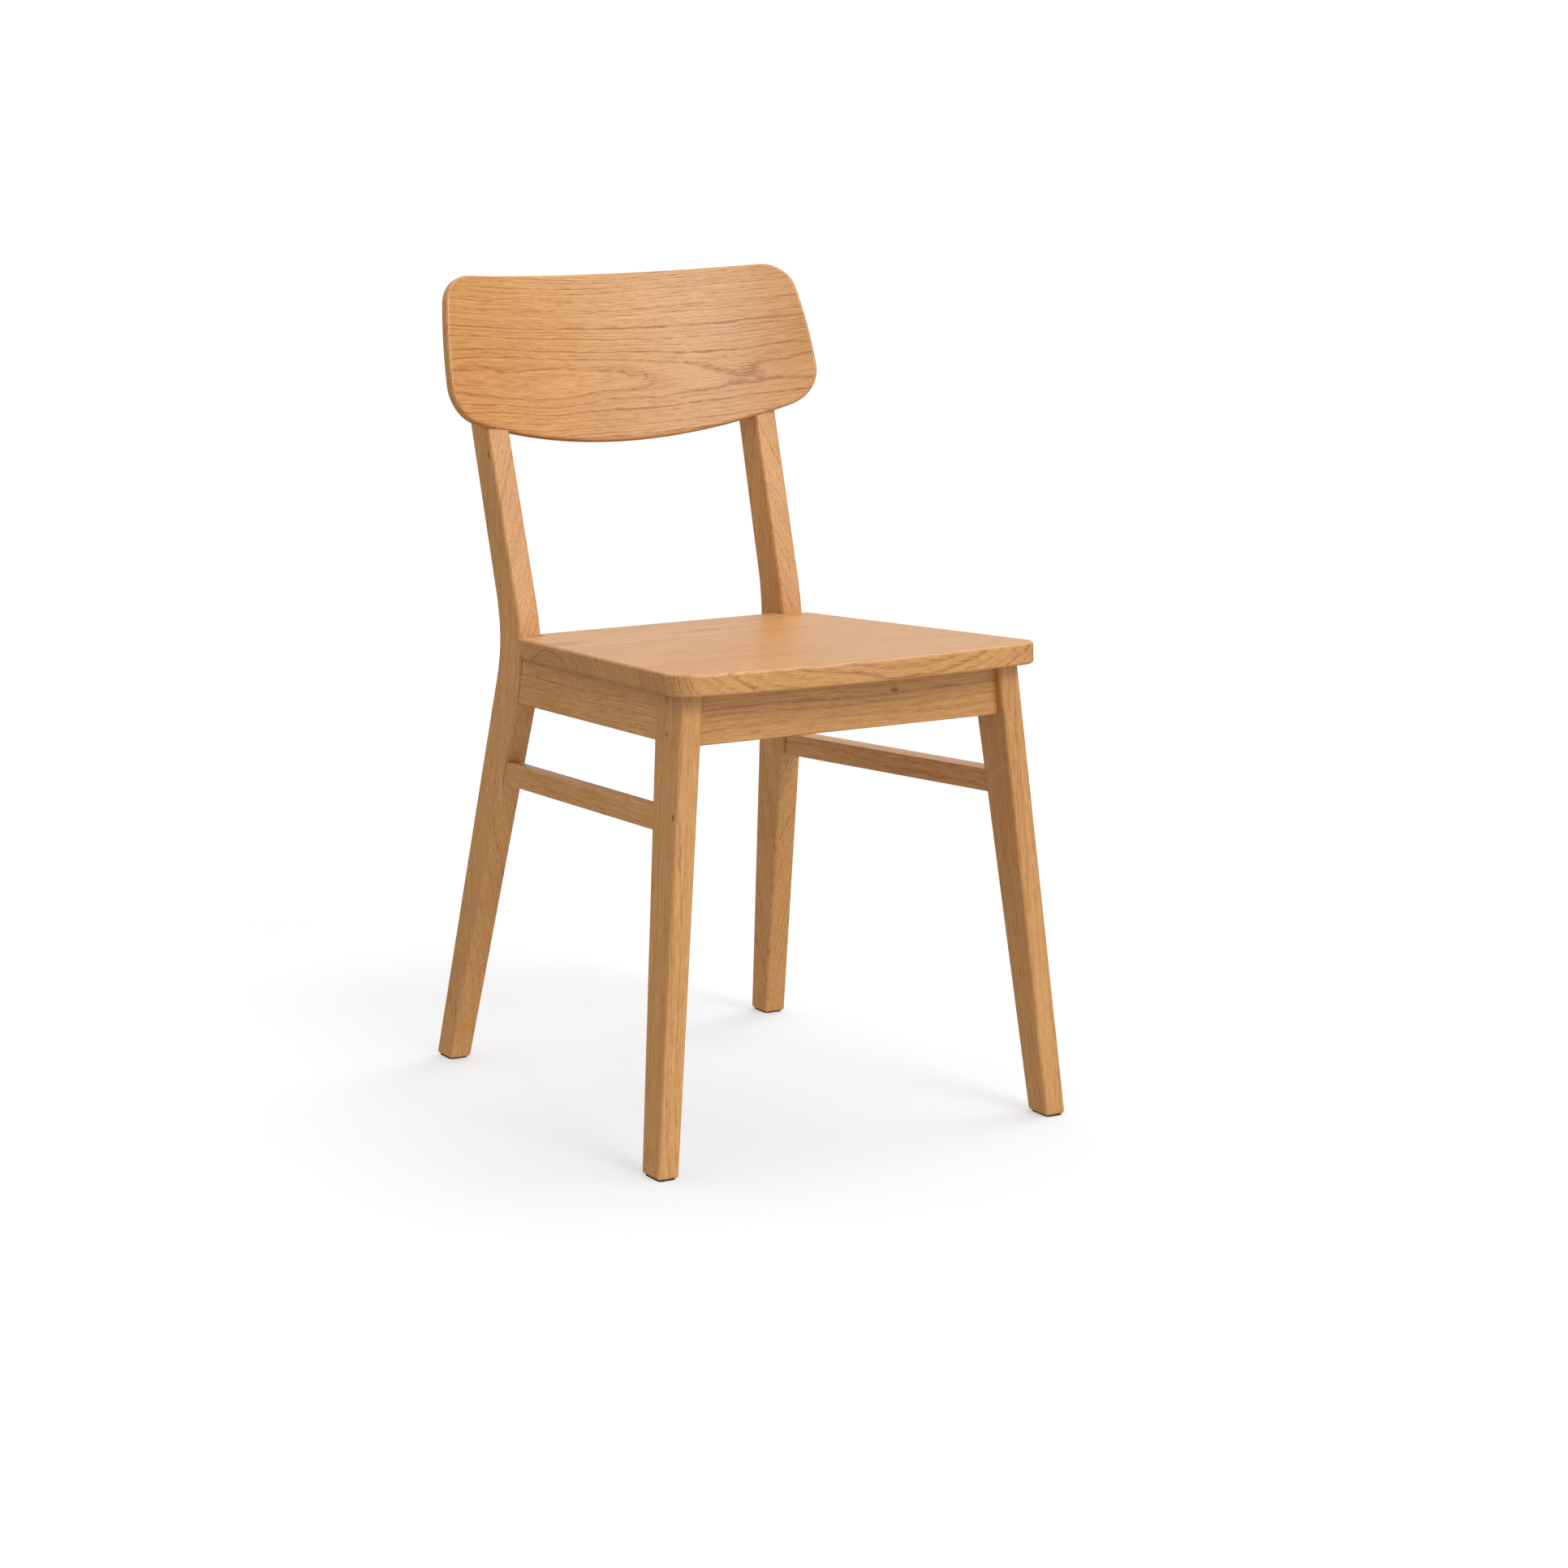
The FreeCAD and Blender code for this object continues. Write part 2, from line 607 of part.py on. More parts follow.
# Corner braces: each runs across a corner of the seat frame, just under the seat, and one
# bolt draws it towards its leg.
for which, cross in (("front", "front_rail"), ("rear", "rear_rail")):
    away = 1 if which == "front" else -1          # from the cross rail towards the middle
    cross_end = cross_rails[cross][1]
    level = cross_end.z
    cross_face = cross_end.y + away * value("rail_thickness / 2")
    arris_y = value(front_leg_back(level) if which == "front" else rear_leg_face(level))
    for side, sign in SIDES.items():
        name = f"corner_brace_{which}_{side}"
        arris = FreeCAD.Vector(sign * cross_end.x, arris_y, level)
        to_leg = FreeCAD.Vector(sign, -away, 0).normalize()
        corner = arris - to_leg * value("brace_setback")
        run = FreeCAD.Vector(sign, away, 0).normalize()
        middle = crossing(corner, run, corner, X)
        start = crossing(corner, run, FreeCAD.Vector(0, cross_face, 0), X)
        rail_start, rail_end = side_line(sign, level, "rail_thickness")
        inner_edge = rail_start - X * sign * value("rail_thickness / 2")
        end = crossing(corner, run, inner_edge, rail_end - rail_start)
        blank = bar(name, start, end, seat_normal, "brace_thickness", "brace_height",
                    "brace_reach")
        pieces[name] = trimmed(f"{name}_fitted", blank, pieces[cross],
                               pieces[f"side_rail_{side}"])
        bolt_line = run.cross(seat_normal).normalize() * sign * away
        bored = middle - seat_normal * value("bolt_drop")
        head = bored - bolt_line * value("brace_thickness / 2 + bolt_proud")
        leg_bolts.append(fitted_rod(f"{name}_bolt", head, bolt_line, "bolt_radius",
                                    "bolt_proud + brace_thickness / 2 + brace_setback"
                                    " + bolt_depth"))
        nut = make("Part::Prism", f"{name}_nut",
                   {"Circumradius": "nut_radius", "Height": "nut_height"}, Polygon=6)
        back_of_nut = bored - bolt_line * value("brace_thickness / 2 + nut_height")
        nut.Placement = FreeCAD.Placement(back_of_nut, FreeCAD.Rotation(Z, bolt_line))
        nuts.append(nut)
        along = (end - start).normalize()
        foot = (middle - along * value("seat_screw_offset")
                - seat_normal * value("brace_height / 2"))
        shank = fitted_rod(f"{name}_screw", foot, seat_normal, "seat_screw_radius",
                           "seat_screw_length")
        cap = fitted_rod(f"{name}_screw_head", foot, seat_normal, "screw_head_radius",
                         "screw_head_height")
        seat_screws.append(make("Part::Fuse", f"{name}_screw_whole", Base=shank, Tool=cap))

# Backrest screws go in from behind each post and are covered by plugs.
forward = back_place.Rotation.multVec(-Y)
for side, sign in SIDES.items():
    for height in ("back_screw_low", "back_screw_high"):
        name = f"{height}_{side}"
        x = value(f"{post_outer(height)} - rear_leg_thickness / 2")
        mouth = FreeCAD.Vector(sign * x, value(post_back(height)), value(height))
        inside = back_place.inverse().multVec(mouth)
        to_panel = inside.y + value(f"back_bend - sqrt((back_bend + back_thickness)^2 - {x}^2)")
        reach = to_panel + value("back_screw_bite")
        plugs.append(fitted_rod(f"{name}_plug", mouth, forward, "plug_radius", "plug_height"))
        under_plug = mouth + forward * value("plug_height")
        shank = fitted_rod(f"{name}_shank", under_plug, forward, "back_screw_radius",
                           f"{reach} - plug_height")
        cap = fitted_rod(f"{name}_head", under_plug, forward, "screw_head_radius",
                         "screw_head_height")
        back_screws.append(make("Part::Fuse", f"{name}_whole", Base=shank, Tool=cap))

# Foot glides, each held by one nail.
for which, outer, face, thickness, depth in (
        ("front", front_leg_outer, "front_foot_front", "front_leg_thickness",
         "front_foot_depth"),
        ("rear", rear_leg_outer, "rear_foot_front", "rear_leg_thickness", "rear_foot_depth")):
    for side, sign in SIDES.items():
        x = sign * value(f"{outer('glide_height')} - {thickness} / 2")
        foot = FreeCAD.Vector(x, value(f"{face} + {depth} / 2"), 0)
        name = f"foot_glide_{which}_{side}"
        pad = make("Part::Box", f"{name}_square", {
            "Length": f"{thickness} - 2 * glide_inset",
            "Width": f"{depth} - 2 * glide_inset", "Height": "glide_height"})
        corner = (value(f"{thickness} / 2 - glide_inset"), value(f"{depth} / 2 - glide_inset"), 0)
        pad.Placement.Base = foot - FreeCAD.Vector(*corner)
        pieces[name] = ease(f"{name}_pad", pad, "glide_corner", lies_along(Z))
        nails.append(fitted_rod(f"{name}_nail", foot + Z * value("nail_cover"), Z,
                                "nail_radius", "nail_length"))

holes = make("Part::MultiFuse", "hardware_holes", Shapes=bores)
for name, piece in pieces.items():
    node(trimmed(f"{name}_bored", piece, holes), name)
bored_nuts = [trimmed(f"{nut.Name}_bored", nut, holes) for nut in nuts]
for name, things in (("rail_dowels", rail_dowels), ("stretcher_dowels", stretcher_dowels),
                     ("leg_bolts", leg_bolts), ("leg_bolt_nuts", bored_nuts),
                     ("seat_screws", seat_screws), ("backrest_screws", back_screws),
                     ("backrest_plugs", plugs), ("glide_nails", nails)):
    group(name, things)

# ---- checks and files ------------------------------------------------------------------

doc.recompute()
for thing in doc.Objects:
    if "Invalid" in thing.State or "Error" in thing.State:
        raise RuntimeError(f"{thing.Name} failed: {thing.State}")
for piece in nodes:
    if piece.Shape.isNull() or not piece.Shape.isValid():
        raise RuntimeError(f"{piece.Label} has no valid shape")
    if piece.Shape.Volume < 1:
        raise RuntimeError(f"{piece.Label} is empty")

os.makedirs("parts", exist_ok=True)
for piece in nodes:
    piece.Shape.exportStep(f"parts/{piece.Label}.step")
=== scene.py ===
import math

import bpy
from mathutils import Euler, Matrix, Vector


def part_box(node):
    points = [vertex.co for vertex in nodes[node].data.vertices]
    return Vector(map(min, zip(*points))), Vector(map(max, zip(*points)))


# Dining chair in solid oak.  Every wooden piece is cut from a log of its own: its material
# works out where each point of the piece lies in that log, so growth rings, fibres and pores
# run through the piece as they do through sawn wood.  Metres, in the frame of the CAD model.

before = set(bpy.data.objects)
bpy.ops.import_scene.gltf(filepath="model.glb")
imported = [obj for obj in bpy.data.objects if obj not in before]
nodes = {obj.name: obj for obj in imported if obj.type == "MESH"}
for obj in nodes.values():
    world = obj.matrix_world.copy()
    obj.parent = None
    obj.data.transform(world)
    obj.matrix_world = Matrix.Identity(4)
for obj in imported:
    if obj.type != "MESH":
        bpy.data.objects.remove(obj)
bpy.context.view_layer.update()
MM = 0.001


# ---- material graphs -------------------------------------------------------------------

class Graph:
    """The node tree of a material or of the world, written as formulas."""

    def __init__(self, owner):
        owner.use_nodes = True
        self.owner = owner
        self.tree = owner.node_tree

    def node(self, kind, inputs=None, **settings):
        """New node; inputs are links or plain values, keyed by socket name or number."""
        new = self.tree.nodes.new("ShaderNode" + kind)
        for key, setting in settings.items():
            setattr(new, key, setting)
        for key, source in (inputs or {}).items():
            self.feed(new.inputs[key], source)
        return new

    def feed(self, socket, source):
        if isinstance(source, bpy.types.NodeSocket):
            self.tree.links.new(source, socket)
        else:
            socket.default_value = source

    def maths(self, operation, *sources, clamp=False):
        inputs = dict(enumerate(sources))
        return self.node("Math", inputs, operation=operation, use_clamp=clamp).outputs[0]

    def vector(self, operation, *sources):
        out = self.node("VectorMath", dict(enumerate(sources)), operation=operation)
        return out.outputs["Value" if operation in ("LENGTH", "DOT_PRODUCT") else "Vector"]

    def scaled(self, point, factors):
        return self.vector("MULTIPLY", point, factors)

    def noise(self, point, scale, detail=2.0, roughness=0.5, colour=False):
        new = self.node("TexNoise", {"Vector": point, "Scale": scale, "Detail": detail,
                                     "Roughness": roughness})
        return new.outputs["Color" if colour else "Fac"]

    def noise_of(self, number, scale, detail=2.0):
        """Noise along a single number."""
        new = self.node("TexNoise", {"W": number, "Scale": scale, "Detail": detail},
                        noise_dimensions="1D")
        return new.outputs["Fac"]

    def spread(self, source, low, high, to_low=0.0, to_high=1.0):
        """Smooth step from one range to another."""
        new = self.node("MapRange", {"Value": source, "From Min": low, "From Max": high,
                                     "To Min": to_low, "To Max": to_high},
                        interpolation_type="SMOOTHSTEP")
        return new.outputs["Result"]

    def ramp(self, source, stops):
        """Number that follows straight lines through (position, value) stops."""
        new = self.node("ValToRGB", {"Fac": source})
        while len(new.color_ramp.elements) < len(stops):
            new.color_ramp.elements.new(0.5)
        for element, (place, level) in zip(new.color_ramp.elements, stops):
            element.position = place
            element.color = (level, level, level, 1)
        return new.outputs["Color"]

    def mix(self, share, first, second):
        new = self.node("Mix", data_type="RGBA")
        self.feed(new.inputs[0], share)
        self.feed(new.inputs[6], first)
        self.feed(new.inputs[7], second)
        return new.outputs[2]

    def finish(self, **sockets):
        """Feeds the material's shader and returns the material."""
        for name, source in sockets.items():
            self.feed(self.tree.nodes["Principled BSDF"].inputs[name.replace("_", " ")], source)
        return self.owner


def new_graph(name):
    return Graph(bpy.data.materials.new(name))


# ---- oak -------------------------------------------------------------------------------

LIGHT = (0.632, 0.303, 0.093, 1)      # latewood
DARK = (0.425, 0.160, 0.034, 1)       # pore bands of the earlywood
PORE = (0.290, 0.092, 0.015, 1)
RAY = (0.720, 0.400, 0.170, 1)
END = (0.330, 0.135, 0.036, 1)        # end grain drinks more lacquer
KNOT = (0.130, 0.036, 0.008, 1)

# How often each pattern repeats in a metre: along the grain, across the face, into the wood.
# Each sway of the rings also has its width, as a multiple of wander.
SWAYS = (((2.2, 9, 9), 6.0), ((9, 28, 28), 1.6), ((38, 90, 90), 0.45))
STREAKS = (34, 640, 640)
FIBRES = (70, 1700, 1700)
PATCHES = (5, 17, 17)
PORES = (85, 1500, 1500)
RAYS = (60, 90, 700)
END_STROKES = (60, 300, 900)
# How dark the wood is through a year: the pore band of spring, which fades until autumn.
YEAR = ((0.0, 0.5), (0.07, 1.0), (0.24, 0.5), (0.5, 0.12), (0.93, 0.0), (1.0, 0.5))


def log_frame(grain, face, pith):
    """Matrix into the log: X runs along the grain, Z out of the wide face, from the pith."""
    along = Vector(grain).normalized()
    across = Vector(face).cross(along).normalized()
    turn = Matrix((along, across, along.cross(across)))
    return turn.to_4x4() @ Matrix.Translation(-Vector(pith))


def bent_frame(graph, centre, lean, radius, pith):
    """The same for a board bent round an upright arc: X is the way along the arc."""
    place = graph.node("TexCoord").outputs["Object"]
    turn = Euler((lean, 0, 0)).to_matrix()
    local = graph.node("Mapping", {"Vector": place, "Location": -(turn @ centre),
                                   "Rotation": Euler((lean, 0, 0))}).outputs["Vector"]
    x, y, z = graph.node("SeparateXYZ", {0: local}).outputs
    angle = graph.maths("ARCTAN2", x, y)
    level = graph.scaled(local, (1, 1, 0))
    depth = graph.maths("SUBTRACT", graph.vector("LENGTH", level), radius)
    along = graph.maths("MULTIPLY", angle, radius)
    flat = graph.node("CombineXYZ", {0: along, 1: z, 2: depth}).outputs[0]
    return graph.vector("SUBTRACT", flat, pith)


def swirl(graph, point, place, radius):
    """How close a point is to a knot, 1 in its heart, and fading along the grain."""
    away = graph.scaled(graph.vector("SUBTRACT", point, place), (0.55, 1, 1))
    return graph.spread(graph.vector("LENGTH", away), 3.2 * radius, 0.4 * radius)


def oak(graph, point, along=None, ring=3.6 * MM, wander=3.0 * MM, figure=1.0, knots=()):
    """Lacquered oak.  The point is in the log's frame, and so are the knots; ring is the width
    of a year's growth, wander how far the rings stray, and figure how strongly they show."""
    # The log is never straight: its rings wander slowly along it and quickly across it.  They
    # swell round a knot, and streaks feather their edges along the grain.
    warped = point
    for sway, share in SWAYS:
        noise = graph.noise(graph.scaled(point, sway), 1, 2, colour=True)
        amount = share * wander
        offset = graph.vector("SUBTRACT", noise, (0.5, 0.5, 0.5))
        warped = graph.vector("ADD", warped, graph.scaled(offset, (0, amount, amount)))
    radial = graph.vector("LENGTH", graph.scaled(warped, (0, 1, 1)))
    streaks = graph.noise(graph.scaled(warped, STREAKS), 1, 4, 0.66)
    feathered = graph.maths("MULTIPLY", graph.maths("SUBTRACT", streaks, 0.5), 0.8 * ring)
    radial = graph.maths("ADD", radial, feathered)
    near_knot = 0.0
    for place, radius in knots:
        near_knot = graph.maths("MAXIMUM", near_knot, swirl(graph, point, place, radius))
    if knots:
        radial = graph.maths("ADD", radial, graph.maths("MULTIPLY", near_knot, 2 * ring))
    year = graph.maths("DIVIDE", radial, ring)
    year = graph.maths("ADD", year, graph.maths("MULTIPLY", graph.noise_of(year, 0.45), 1.6))
    phase = graph.maths("FRACT", year)
    vigour = graph.noise_of(graph.maths("FLOOR", year), 0.73, 0)
    band = graph.maths("MULTIPLY", graph.ramp(phase, YEAR),
                       graph.spread(vigour, 0.3, 0.7, 0.35, 1.0))

    # Finer than the rings: fibres, pores and rays.
    fibres = graph.noise(graph.scaled(warped, FIBRES), 1, 2, 0.6)
    patches = graph.noise(graph.scaled(point, PATCHES), 1, 3, 0.55)
    dashes = graph.noise(graph.scaled(warped, PORES), 1, 1, 0.5)
    edge = graph.maths("SUBTRACT", 0.66, graph.maths("MULTIPLY", band, 0.14))
    pores = graph.spread(graph.maths("SUBTRACT", dashes, edge), 0.0, 0.08)
    rays = graph.spread(graph.noise(graph.scaled(point, RAYS), 1, 1, 0.5), 0.64, 0.74)

    broken = graph.maths("MULTIPLY", band, graph.spread(streaks, 0.75, 0.25, 0.4, 1.4))
    tan = graph.mix(graph.maths("MULTIPLY", broken, figure, clamp=True), LIGHT, DARK)
    level = 1.0
    for pattern, depth in ((streaks, 0.54), (fibres, 0.44), (patches, 0.26)):
        swing = graph.maths("MULTIPLY", graph.maths("SUBTRACT", pattern, 0.5), depth)
        level = graph.maths("ADD", level, swing)
    # Darker wood is redder, too.
    tint = graph.node("CombineXYZ", {0: level, 1: graph.maths("POWER", level, 1.5),
                                     2: graph.maths("POWER", level, 2.3)}).outputs[0]
    tan = graph.scaled(tan, tint)
    tan = graph.mix(graph.maths("MULTIPLY", rays, 0.12), tan, RAY)
    tan = graph.mix(graph.maths("MULTIPLY", pores, 0.45), tan, PORE)
    if along is not None:
        normal = graph.node("NewGeometry").outputs["Normal"]
        facing = graph.maths("ABSOLUTE", graph.vector("DOT_PRODUCT", normal, along))
        at_end = graph.spread(facing, 0.5, 0.9)
        strokes = graph.noise(graph.scaled(warped, END_STROKES), 1, 3, 0.6)
        cut = graph.maths("ADD", graph.maths("MULTIPLY", band, 0.45),
                          graph.spread(strokes, 0.45, 0.7, 0.0, 0.5))
        tan = graph.mix(graph.maths("MULTIPLY", at_end, cut, clamp=True), tan, END)
    if knots:
        tan = graph.mix(graph.spread(near_knot, 0.4, 1.0, 0.0, 0.65), tan, KNOT)

    roughness = graph.maths("ADD", graph.maths("MULTIPLY", streaks, 0.12),
                            graph.maths("ADD", 0.32, graph.maths("MULTIPLY", pores, 0.2)))
    height = graph.maths("SUBTRACT", graph.maths("MULTIPLY", streaks, 0.6),
                         graph.maths("ADD", pores, graph.maths("MULTIPLY", band, 0.25)))
    bump = graph.node("Bump", {"Height": height, "Strength": 0.3, "Distance": 0.4 * MM})
    return graph.finish(Base_Color=tan, Roughness=roughness, Normal=bump.outputs[0],
                        Specular_IOR_Level=0.8)


def sawn(name, grain, face, pith, knots=(), **look):
    """Oak for a straight piece: grain direction, wide face, and where the pith lies.  Knots
    are places on the chair and radii."""
    graph = new_graph(name)
    into_log = log_frame(grain, face, pith)
    place = graph.node("TexCoord").outputs["Object"]
    point = graph.node("Mapping", {"Vector": place, "Location": into_log.to_translation(),
                                   "Rotation": into_log.to_euler()}).outputs["Vector"]
    knots = [(into_log @ Vector(knot), radius) for knot, radius in knots]
    return oak(graph, point, Vector(grain).normalized(), knots=knots, **look)


def steel(name, tint, shine):
    """Zinc-plated steel: a mottled, faintly brushed and slightly tarnished skin."""
    graph = new_graph(name)
    place = graph.node("TexCoord").outputs["Object"]
    mottle = graph.noise(place, 900, 3, 0.6)
    brushed = graph.noise(graph.scaled(place, (3000, 3000, 250)), 1, 2, 0.5)
    tarnish = graph.spread(graph.noise(place, 260, 3, 0.6), 0.5, 0.75)
    colour = graph.mix(graph.maths("MULTIPLY", mottle, 0.3), tint, (0.42, 0.43, 0.45, 1))
    colour = graph.mix(graph.maths("MULTIPLY", tarnish, 0.35), colour, (0.20, 0.17, 0.14, 1))
    roughness = graph.maths("ADD", shine, graph.maths("MULTIPLY", mottle, 0.2))
    bump = graph.node("Bump", {"Height": brushed, "Strength": 0.2, "Distance": 0.05 * MM})
    return graph.finish(Base_Color=colour, Metallic=1.0, Roughness=roughness,
                        Normal=bump.outputs[0])


def felt(name):
    """Dark brown pressed felt, matted by use."""
    graph = new_graph(name)
    place = graph.node("TexCoord").outputs["Object"]
    fuzz = graph.noise(place, 2600, 4, 0.7)
    matted = graph.noise(place, 170, 3, 0.6)
    shade = graph.maths("ADD", graph.maths("MULTIPLY", fuzz, 0.6),
                        graph.maths("MULTIPLY", matted, 0.4))
    colour = graph.mix(shade, (0.018, 0.012, 0.008, 1), (0.110, 0.075, 0.050, 1))
    bump = graph.node("Bump", {"Height": fuzz, "Strength": 0.6, "Distance": 0.3 * MM})
    roughness = graph.maths("SUBTRACT", 1.0, graph.maths("MULTIPLY", matted, 0.15))
    return graph.finish(Base_Color=colour, Roughness=roughness, Normal=bump.outputs[0],
                        Specular_IOR_Level=0.2)


def beech(name):
    """Fluted dowel stock: pale pinkish wood with short dark flecks and a sanded, dry surface."""
    graph = new_graph(name)
    place = graph.node("TexCoord").outputs["Object"]
    warp = graph.scaled(graph.noise(place, 60, 2, colour=True), (0.004, 0.004, 0.004))
    place = graph.vector("ADD", place, warp)
    grain = graph.noise(place, 420, 4, 0.65)
    flecks = graph.spread(graph.noise(place, 1500, 1, 0.5), 0.62, 0.70)
    colour = graph.mix(grain, (0.62, 0.40, 0.22, 1), (0.48, 0.27, 0.13, 1))
    colour = graph.mix(graph.maths("MULTIPLY", flecks, 0.5), colour, (0.25, 0.11, 0.05, 1))
    height = graph.maths("SUBTRACT", grain, graph.maths("MULTIPLY", flecks, 0.4))
    bump = graph.node("Bump", {"Height": height, "Strength": 0.3, "Distance": 0.2 * MM})
    roughness = graph.maths("ADD", 0.55, graph.maths("MULTIPLY", grain, 0.15))
    return graph.finish(Base_Color=colour, Roughness=roughness, Normal=bump.outputs[0])


def dress(node, material):
    slots = nodes[node].data.materials
    slots.clear()
    slots.append(material)


def middle(node):
    low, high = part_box(node)
    return (low + high) / 2


SEAT_SLOPE = math.radians(2.9)
BACK_RAKE = math.radians(16)
BACK_BEND = 0.510                             # radius of the backrest's hollow face
BACK_BASE = Vector((0, 0.2111, 0.6293))       # lowest point of that face
fall = Vector((0, math.cos(SEAT_SLOPE), -math.sin(SEAT_SLOPE)))
seat_up = Vector((0, math.sin(SEAT_SLOPE), math.cos(SEAT_SLOPE)))

KNOTS = {                                     # places on the chair, and radii
    "front_rail": [((0.049, -0.222, 0.431), 1.8 * MM)],
    "front_leg_right": [((-0.187, -0.207, 0.408), 1.1 * MM), ((-0.194, -0.230, 0.335), 1.3 * MM)],
    "side_rail_right": [((-0.170, -0.050, 0.426), 1.0 * MM), ((-0.163, 0.036, 0.407), 1.0 * MM)],
    "rear_leg_right": [((-0.166, 0.195, 0.625), 1.6 * MM)],
}

seat_log = middle("seat_panel") + Vector((0.31, 0.12, -0.09))
dress("seat_panel", sawn("oak_seat", (1, 0.02, 0), seat_up, seat_log, ring=3.2 * MM, figure=1.0))

graph = new_graph("oak_backrest")
back_turn = Euler((-BACK_RAKE, 0, 0)).to_matrix()
back_axis = BACK_BASE + back_turn @ Vector((0, -BACK_BEND, 0))
point = bent_frame(graph, back_axis, BACK_RAKE, BACK_BEND, Vector((0.02, 0.060, -0.045)))
dress("backrest_panel", oak(graph, point, ring=2.6 * MM, wander=3.6 * MM, figure=1.1))

for side, sign in (("left", 1), ("right", -1)):
    for name, grain, pith in (
            (f"front_leg_{side}", (-sign * 0.09, 0.07, 1), (sign * 0.045, 0.075, 0.1 * sign)),
            (f"rear_leg_{side}", (-sign * 0.03, 0, 1), (sign * 0.045, 0.045, 0.1 * sign)),
            (f"side_rail_{side}", fall - Vector((sign * 0.07, 0, 0)),
             (sign * 0.05, 0.2 * sign, -0.06)),
            (f"side_stretcher_{side}", fall - Vector((sign * 0.07, 0, 0)),
             (sign * 0.05, 0.2 * sign, -0.03))):
        dress(name, sawn(f"oak_{name}", grain, (1, 0, 0), middle(name) + Vector(pith),
                         knots=KNOTS.get(name, ()), ring=3.0 * MM, figure=0.6))
    for which, away in (("front", 1), ("rear", -1)):
        name = f"corner_brace_{which}_{side}"
        dress(name, sawn(f"oak_{name}", (sign, away, 0), (0, 0, 1),
                         middle(name) + Vector((0.03, 0.05, -0.04)), figure=0.5))
        dress(f"foot_glide_{which}_{side}", felt(f"felt_{which}_{side}"))
for which in ("front", "rear"):
    name = f"{which}_rail"
    dress(name, sawn(f"oak_{name}", (1, 0, 0.01), (0, 1, 0),
                     middle(name) + Vector((0.15, 0.065, -0.05)),
                     knots=KNOTS.get(name, ()), ring=3.4 * MM, figure=0.6))

dress("backrest_plugs", sawn("oak_plugs", (0, -1, 0.27), (0, 0, 1), (0.3, 0.3, 0.65), figure=0.8))
for name in ("rail_dowels", "stretcher_dowels"):
    dress(name, beech(f"beech_{name}"))
for name, tint, shine in (("leg_bolts", (0.62, 0.62, 0.60, 1), 0.25),
                          ("leg_bolt_nuts", (0.60, 0.57, 0.48, 1), 0.30),
                          ("seat_screws", (0.58, 0.56, 0.50, 1), 0.28),
                          ("backrest_screws", (0.58, 0.56, 0.50, 1), 0.28),
                          ("glide_nails", (0.55, 0.55, 0.56, 1), 0.35)):
    dress(name, steel(f"steel_{name}", tint, shine))


# ---- studio ----------------------------------------------------------------------------

LEFT, RIGHT = 0.57, 0.45   # brightness of the studio's walls
GROUND = 0.76              # of what the chair sees below the horizon
SHEEN = 0.08               # share of walls and ground that the lacquer mirrors
SOFTBOXES = (              # direction, cosines where it starts and is full, brightness
    ((0.10, 0.30, 0.95), 0.25, 0.95, 0.52),        # large and overhead
    ((0.52, 0.08, 0.85), 0.95, 0.985, 3.0),        # small, for the glint along the arrises
    ((0.50, -0.80, 0.32), 0.85, 0.98, 1.20),       # low in front, on the right
    ((0.50, 0.80, 0.30), 0.50, 0.95, 0.52))        # low behind, which the seat mirrors
FLOOR_GLOW = 0.38          # the floor shines a little itself, so its shadows stay pale
FLOOR_WIDTH = 4000         # so wide that its edge is out of sight
HORIZON = 0.1              # height at which the walls have fully taken over from the ground
SUN_FROM = Vector((0.10, -0.77, 0.64))

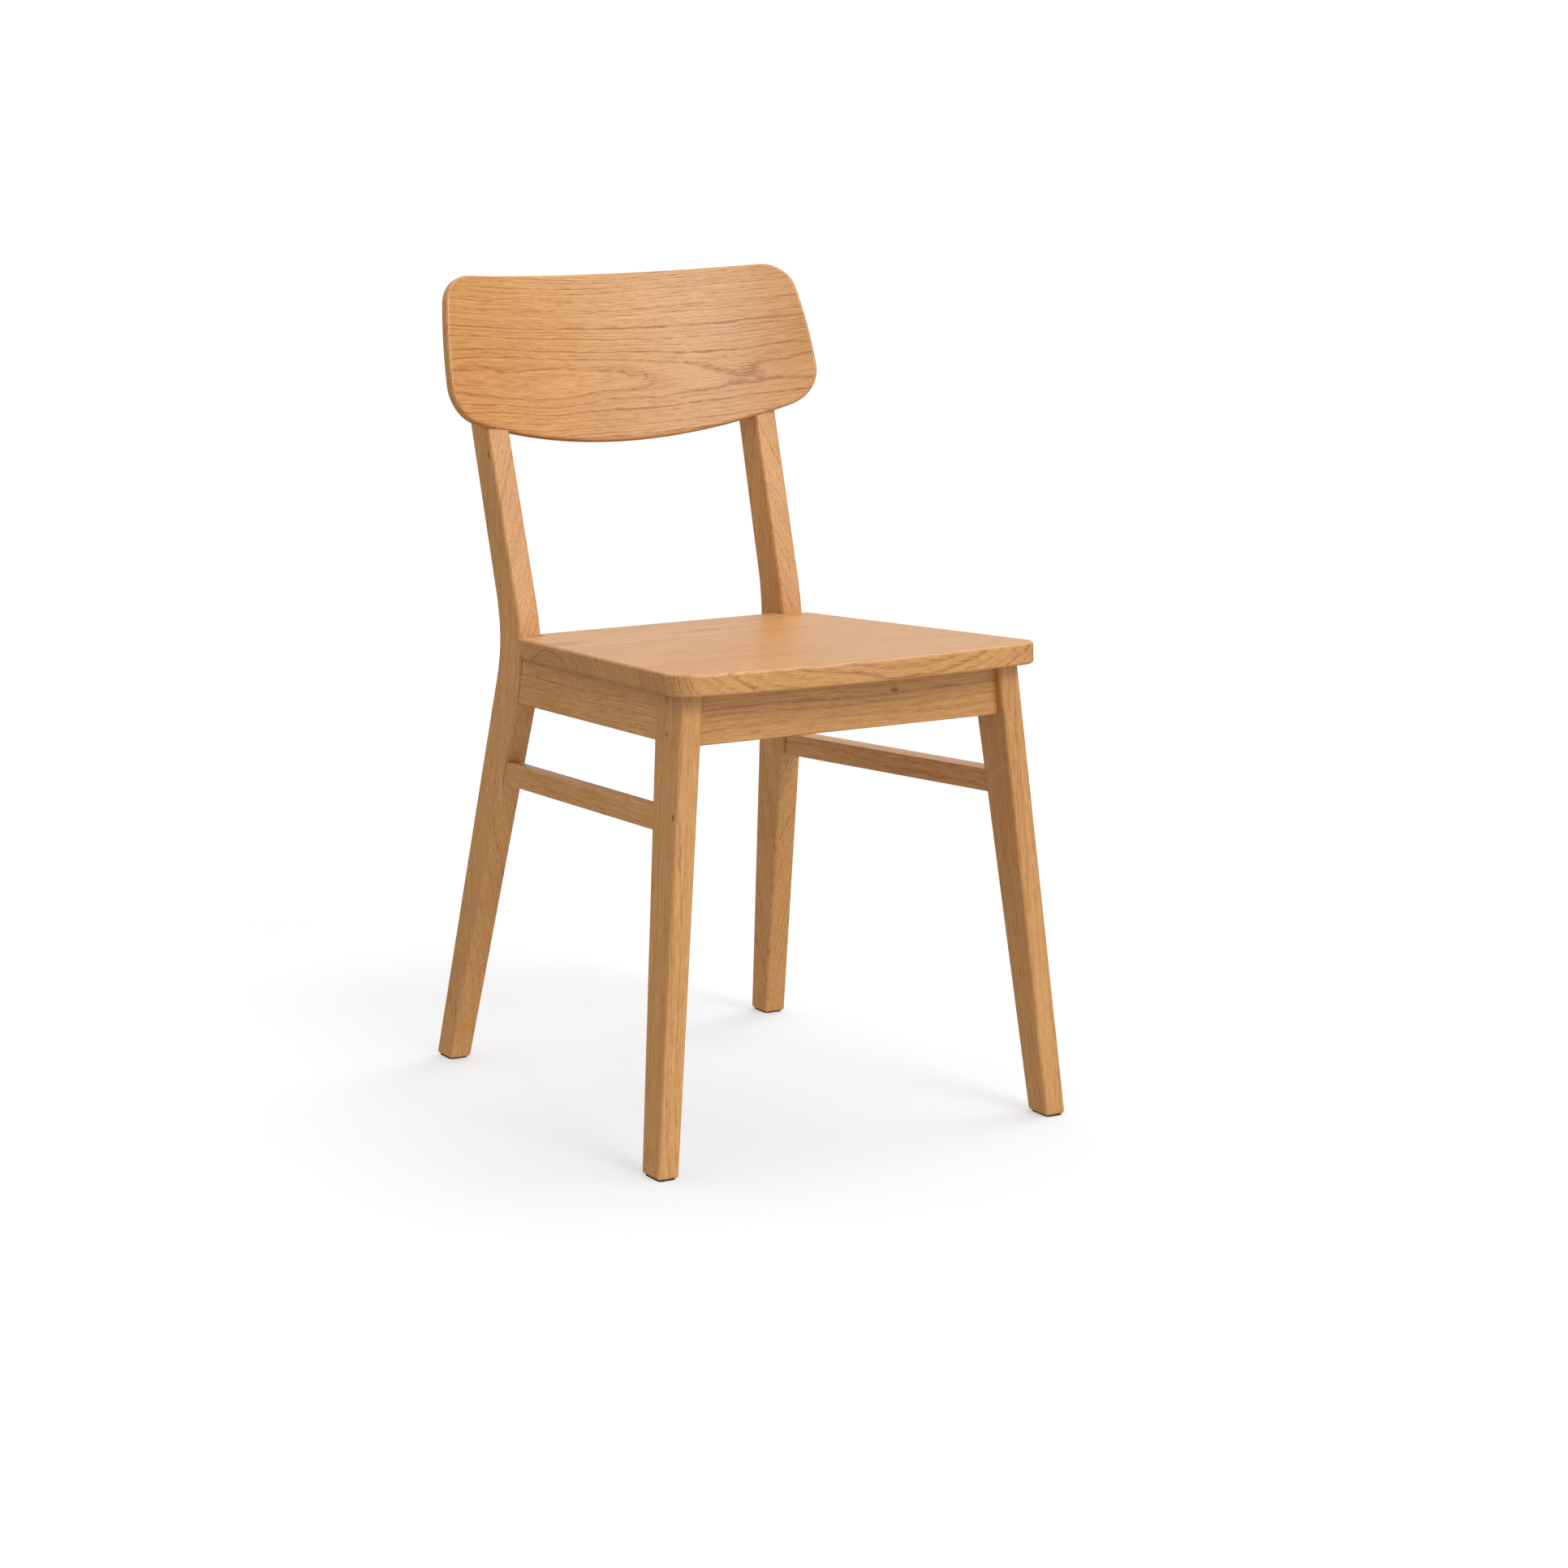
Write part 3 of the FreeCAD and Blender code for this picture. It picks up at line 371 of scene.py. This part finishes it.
graph = new_graph("studio_white")
floor_white = graph.finish(Base_Color=(0.50, 0.505, 0.51, 1), Roughness=1.0,
                           Specular_IOR_Level=0.0, Emission_Color=(1, 1, 1, 1),
                           Emission_Strength=FLOOR_GLOW)
bpy.ops.mesh.primitive_plane_add(size=FLOOR_WIDTH)
floor = bpy.context.object
floor.name = "floor"
floor.data.materials.append(floor_white)
floor.visible_glossy = False
floor.visible_diffuse = False

world = bpy.data.worlds.new("studio")
graph = Graph(world)
direction = graph.node("TexCoord").outputs["Generated"]
sideways, _, upward = graph.node("SeparateXYZ", {0: direction}).outputs
path = graph.node("LightPath").outputs
walls = graph.spread(sideways, -0.6, 0.6, LEFT, RIGHT)
room = graph.spread(upward, -HORIZON, HORIZON, GROUND, walls)
room = graph.maths("MULTIPLY", room, graph.spread(path["Is Glossy Ray"], 0, 1, 1, SHEEN))
for centre, wide, narrow, level in SOFTBOXES:
    towards = graph.vector("DOT_PRODUCT", direction, Vector(centre).normalized())
    glow = graph.maths("MULTIPLY", graph.spread(towards, wide, narrow, 0.0, level),
                       graph.spread(upward, -HORIZON, HORIZON))
    room = graph.maths("ADD", room, glow)
sky = world.node_tree.nodes["Background"]
sky.inputs["Color"].default_value = (1, 1, 1, 1)
graph.feed(sky.inputs["Strength"], graph.maths("MAXIMUM", room, path["Is Camera Ray"]))
bpy.context.scene.world = world

sun = bpy.data.lights.new("sun", "SUN")
sun.energy = 1.2
sun.color = (0.90, 0.97, 1.0)
sun.angle = math.radians(24)
lamp = bpy.data.objects.new("sun", sun)
lamp.rotation_euler = SUN_FROM.to_track_quat("Z", "Y").to_euler()
bpy.context.scene.collection.objects.link(lamp)

# The camera that the photo's edges give.
YAW, PITCH, ROLL = math.radians(30.527), math.radians(-11.058), math.radians(-0.059)
EYE = (-1.9519, -3.4114, 1.0764)
camera = bpy.data.cameras.new("camera")
camera.sensor_width = 36
camera.lens = 93.17
eye = bpy.data.objects.new("camera", camera)
aim = Euler((math.pi / 2 + PITCH, 0, -YAW)).to_matrix() @ Matrix.Rotation(ROLL, 3, "Z")
eye.matrix_world = Matrix.Translation(EYE) @ aim.to_4x4()
bpy.context.scene.collection.objects.link(eye)
bpy.context.scene.camera = eye
bpy.context.scene.view_settings.view_transform = "Standard"
